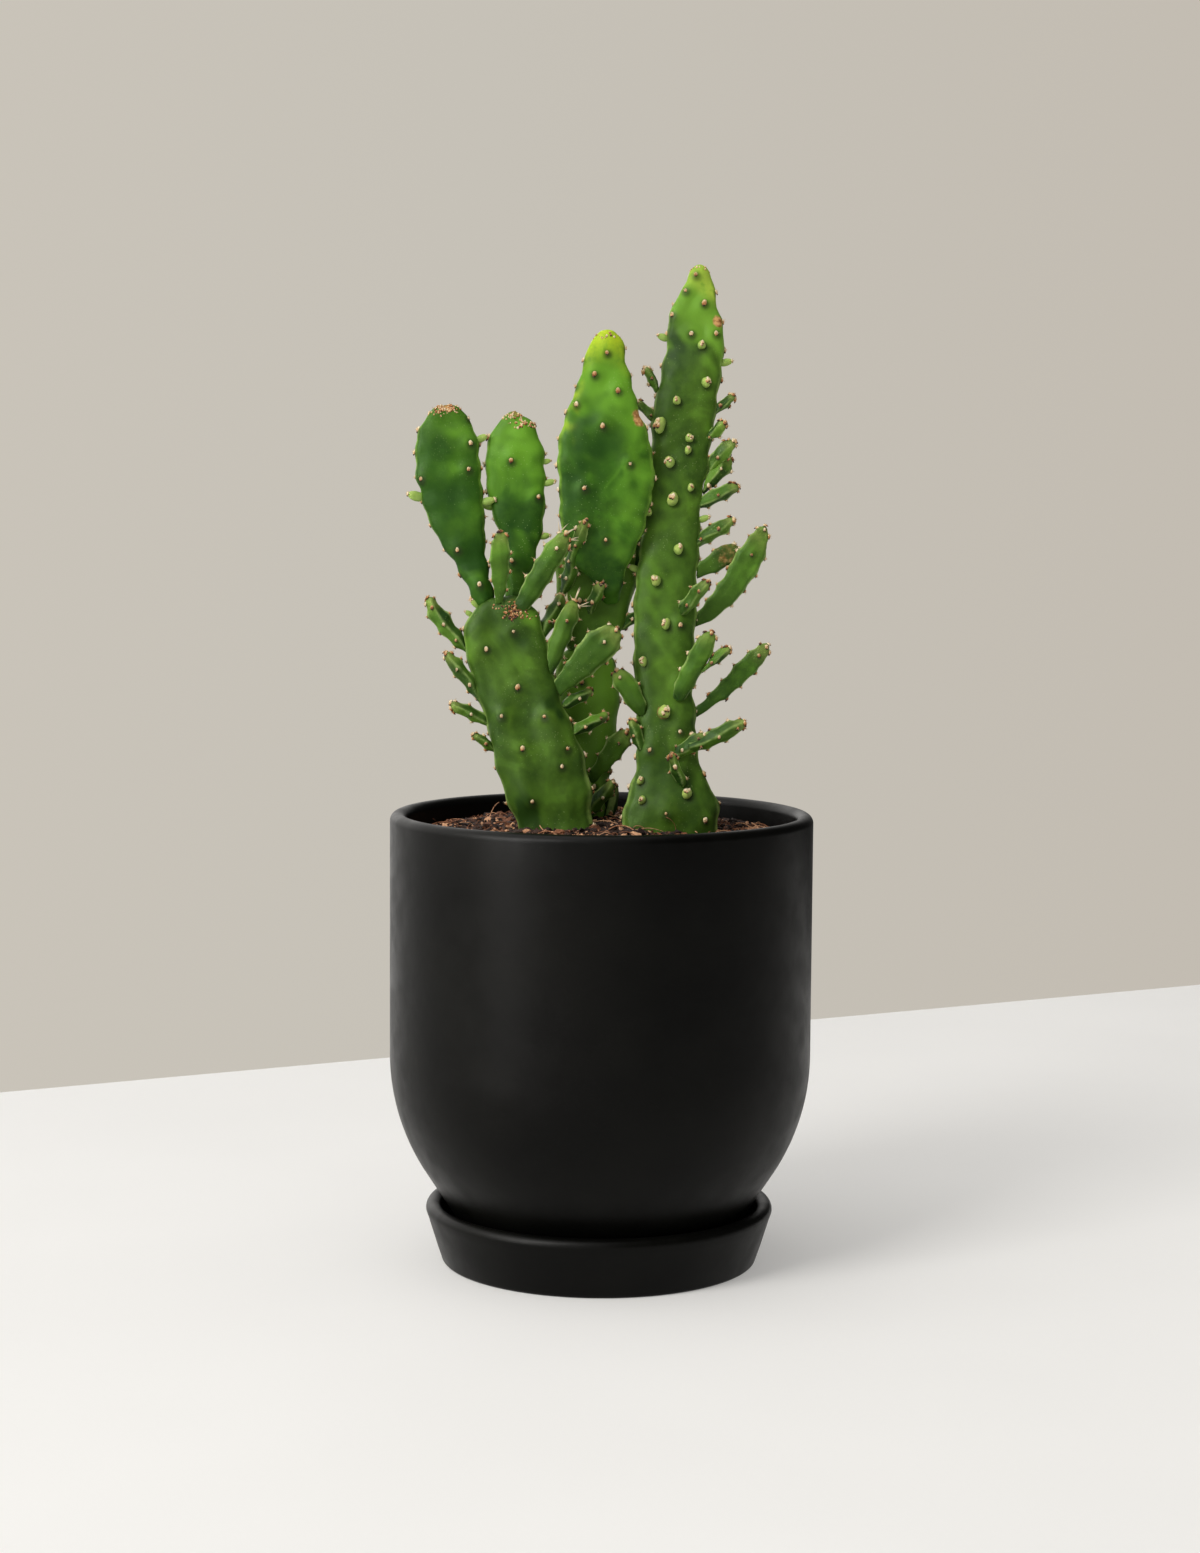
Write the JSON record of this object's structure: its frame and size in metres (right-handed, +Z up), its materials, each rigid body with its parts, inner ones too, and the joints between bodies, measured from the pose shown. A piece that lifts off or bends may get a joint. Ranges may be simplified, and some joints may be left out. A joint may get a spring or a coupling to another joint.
{
  "type": "potted paddle cactus",
  "caption": "Paddle cactus with upright flat green stems and many small side shoots, planted in a round tapered matte black pot that stands in a matching saucer.",
  "frame": {"origin": "middle of the saucer's flat underside, where the object stands", "axes": "+Z up along the pot's axis, -Y towards the front of the plant, +X to the right seen from the front"},
  "size_m": [0.13, 0.13, 0.3063],
  "materials": {
    "matte_ceramic": "matte black stoneware with a soft, fine-grained sheen",
    "potting_mix": null,
    "trunk_skin": null,
    "paddle_skin": "young cactus skin, waxy mid green turning yellow-green at the tips",
    "shoot_skin": "fresh shoot skin, waxy light green with paler ribs",
    "areole_wool": "cream to rust wool tufts and short bristles of the areoles"
  },
  "bodies": {
    "root": {"centre_lower_pad": "trunk_skin", "centre_lower_pad_shoot_01": "shoot_skin", "centre_lower_pad_shoot_02": "shoot_skin", "centre_lower_pad_shoot_03": "shoot_skin", "centre_lower_pad_shoot_04": "shoot_skin", "centre_middle_pad": "trunk_skin", "centre_middle_pad_shoot_01": "shoot_skin", "centre_middle_pad_shoot_02": "shoot_skin", "centre_middle_pad_shoot_03": "shoot_skin", "centre_middle_pad_shoot_04": "shoot_skin", "centre_middle_pad_shoot_05": "shoot_skin", "centre_paddle": "paddle_skin", "left_inner_paddle": "paddle_skin", "left_outer_paddle": "paddle_skin", "left_trunk": "trunk_skin", "left_trunk_shoot_01": "shoot_skin", "left_trunk_shoot_02": "shoot_skin", "left_trunk_shoot_03": "shoot_skin", "left_trunk_shoot_04": "shoot_skin", "left_trunk_shoot_05": "shoot_skin", "left_trunk_shoot_06": "shoot_skin", "left_trunk_shoot_07": "shoot_skin", "left_trunk_shoot_08": "shoot_skin", "left_trunk_shoot_09": "shoot_skin", "left_trunk_shoot_10": "shoot_skin", "left_trunk_shoot_11": "shoot_skin", "left_trunk_shoot_12": "shoot_skin", "left_trunk_shoot_13": "shoot_skin", "pot": "matte_ceramic", "right_stem": "trunk_skin", "right_stem_shoot_01": "shoot_skin", "right_stem_shoot_02": "shoot_skin", "right_stem_shoot_03": "shoot_skin", "right_stem_shoot_04": "shoot_skin", "right_stem_shoot_05": "shoot_skin", "right_stem_shoot_06": "shoot_skin", "right_stem_shoot_07": "shoot_skin", "right_stem_shoot_08": "shoot_skin", "right_stem_shoot_09": "shoot_skin", "right_stem_shoot_10": "shoot_skin", "right_stem_shoot_11": "shoot_skin", "right_stem_shoot_12": "shoot_skin", "right_stem_shoot_13": "shoot_skin", "right_stem_shoot_14": "shoot_skin", "right_stem_shoot_14_bud": "shoot_skin", "right_stem_shoot_15": "shoot_skin", "right_stem_shoot_16": "shoot_skin", "right_stem_shoot_16_bud": "shoot_skin", "right_stem_shoot_17": "shoot_skin", "right_stem_shoot_18": "shoot_skin", "right_stem_shoot_19": "shoot_skin", "right_stem_shoot_20": "shoot_skin", "right_stem_shoot_21": "shoot_skin", "saucer": "matte_ceramic", "soil": "potting_mix"}
  },
  "joints": []
}
